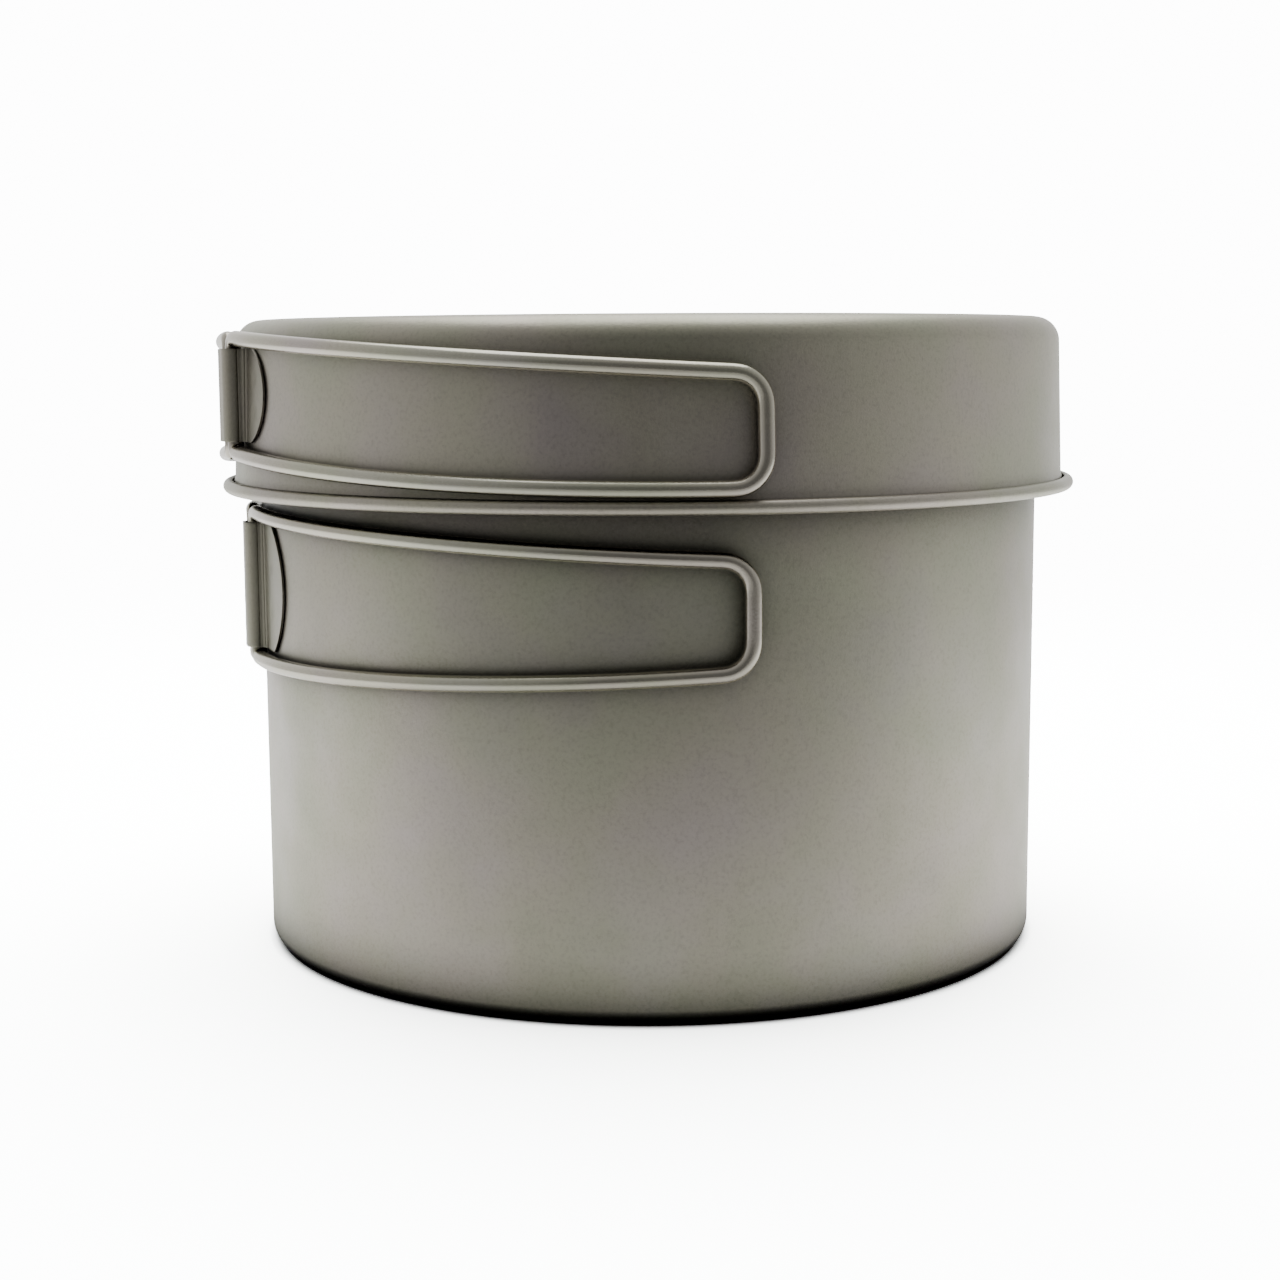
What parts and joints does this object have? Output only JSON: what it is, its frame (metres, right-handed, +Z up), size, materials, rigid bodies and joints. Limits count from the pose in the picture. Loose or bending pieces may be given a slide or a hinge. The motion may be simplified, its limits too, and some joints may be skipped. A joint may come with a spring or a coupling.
{
  "type": "nesting cook set",
  "caption": "Cylindrical camping pot closed by an inverted shallow pan, each with folding butterfly wire handles in a side bracket.",
  "frame": {"origin": "on the pot's axis at the plane it rests on", "axes": "+Z up along the pot's axis; -X towards the middle of the pot's handle bracket; the front handles fold round the -Y side and the rear ones round the +Y side"},
  "size_m": [0.1439, 0.1441, 0.1034],
  "materials": {
    "pot_sheet": "matt bead-blasted titanium sheet",
    "pan_sheet": "matt bead-blasted titanium sheet",
    "bracket_sheet": "matt bead-blasted titanium sheet",
    "wire": "satin drawn titanium wire"
  },
  "bodies": {
    "pot": {"pot_shell": "pot_sheet", "pot_bracket": "bracket_sheet"},
    "pot_front_grip": {"pot_handle_front": "wire"},
    "pot_rear_grip": {"pot_handle_rear": "wire"},
    "pan": {"pan_shell": "pan_sheet", "pan_bracket": "bracket_sheet"},
    "pan_front_grip": {"pan_handle_front": "wire"},
    "pan_rear_grip": {"pan_handle_rear": "wire"}
  },
  "joints": [
    {"name": "pot_front_grip_hinge", "type": "hinge", "parent": "pot", "child": "pot_front_grip", "pos_m": [-0.0667, -0.00135, 0.0605], "axis": [0, 0, -1], "range_deg": [0, 92]},
    {"name": "pot_rear_grip_hinge", "type": "hinge", "parent": "pot", "child": "pot_rear_grip", "pos_m": [-0.0667, 0.00135, 0.0605], "axis": [0, 0, 1], "range_deg": [0, 92]},
    {"name": "pan_lift", "type": "slide", "parent": "pot", "child": "pan", "axis": [0, 0, 1], "range_m": [0, 0.12]},
    {"name": "pan_front_grip_hinge", "type": "hinge", "parent": "pan", "child": "pan_front_grip", "pos_m": [-0.07011, -0.00959, 0.0915], "axis": [0, 0, -1], "range_deg": [0, 92]},
    {"name": "pan_rear_grip_hinge", "type": "hinge", "parent": "pan", "child": "pan_rear_grip", "pos_m": [-0.07042, -0.00691, 0.0915], "axis": [0, 0, 1], "range_deg": [0, 92]}
  ]
}
